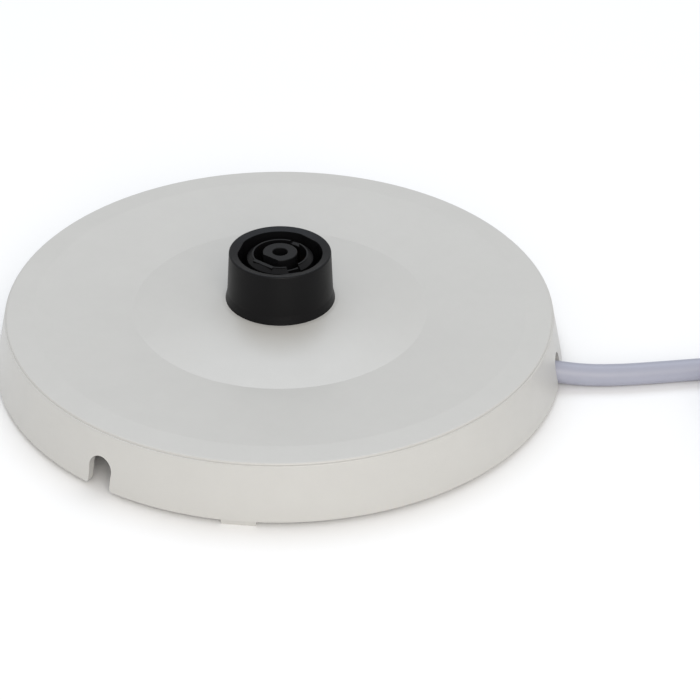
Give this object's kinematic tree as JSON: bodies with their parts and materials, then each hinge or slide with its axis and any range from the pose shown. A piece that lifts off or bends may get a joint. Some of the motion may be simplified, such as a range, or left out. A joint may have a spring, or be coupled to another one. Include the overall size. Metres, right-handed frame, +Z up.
{
  "type": "kettle power base",
  "caption": "Round cordless power base of an electric kettle: cream cover on foot tabs, black 360 degree connector, base plate with cord hub, and a coiled mains cord with plug.",
  "frame": {"origin": "on the surface that the base stands on, under the middle of the connector", "axes": "+Z up along the connector's axis, +X out through the notch that the cord leaves by"},
  "size_m": [0.404, 0.172, 0.0366],
  "materials": {
    "cream_cover": "satin",
    "black_moulding": "matte",
    "screw_steel": "satin",
    "contact_copper": "satin",
    "tinned_brass": "satin",
    "brown_insulation": "gloss",
    "blue_insulation": "gloss",
    "green_insulation": "gloss",
    "cord_white": "satin",
    "white_moulding": "satin",
    "plug_metal": "gloss"
  },
  "bodies": {
    "base": {"top_cover": "cream_cover", "base_plate": "cream_cover", "cover_screws": "screw_steel", "connector_screws": "screw_steel", "clamp_screws": "screw_steel", "clamp_bar": "black_moulding", "connector_sleeve": "black_moulding", "connector_insert": "black_moulding", "connector_carrier": "black_moulding", "live_tab": "contact_copper", "neutral_tab": "contact_copper", "earth_tab": "contact_copper", "live_receptacle": "tinned_brass", "neutral_receptacle": "tinned_brass", "earth_receptacle": "tinned_brass", "live_wire": "brown_insulation", "neutral_wire": "blue_insulation", "earth_wire": "green_insulation", "inner_cord": "cord_white", "cord_grommet": "white_moulding", "cord_tube": "cord_white", "cord_coil": "cord_white", "coil_tie": "white_moulding", "cord_tail": "cord_white", "plug_body": "white_moulding", "plug_pins": "plug_metal", "plug_earth_contacts": "plug_metal"},
    "live_contact": {"live_leaf": "contact_copper"},
    "neutral_contact": {"neutral_leaf": "contact_copper"},
    "earth_contact": {"earth_leaf": "contact_copper"}
  },
  "joints": [
    {"name": "live_contact_flex", "type": "hinge", "parent": "base", "child": "live_contact", "pos_m": [0.00668, -0.00797, 0.019], "axis": [-0.766, -0.6428, 0], "range_deg": [0, 6], "stiffness_Nm_per_rad": 0.28},
    {"name": "neutral_contact_flex", "type": "hinge", "parent": "base", "child": "neutral_contact", "pos_m": [0.00263, 0.00686, 0.019], "axis": [-0.9336, 0.3584, 0], "range_deg": [0, 6], "stiffness_Nm_per_rad": 0.28},
    {"name": "earth_contact_flex", "type": "hinge", "parent": "base", "child": "earth_contact", "pos_m": [-0.00118, -0.00243, 0.019], "axis": [0.8988, -0.4384, 0], "range_deg": [0, 6], "stiffness_Nm_per_rad": 0.28}
  ]
}
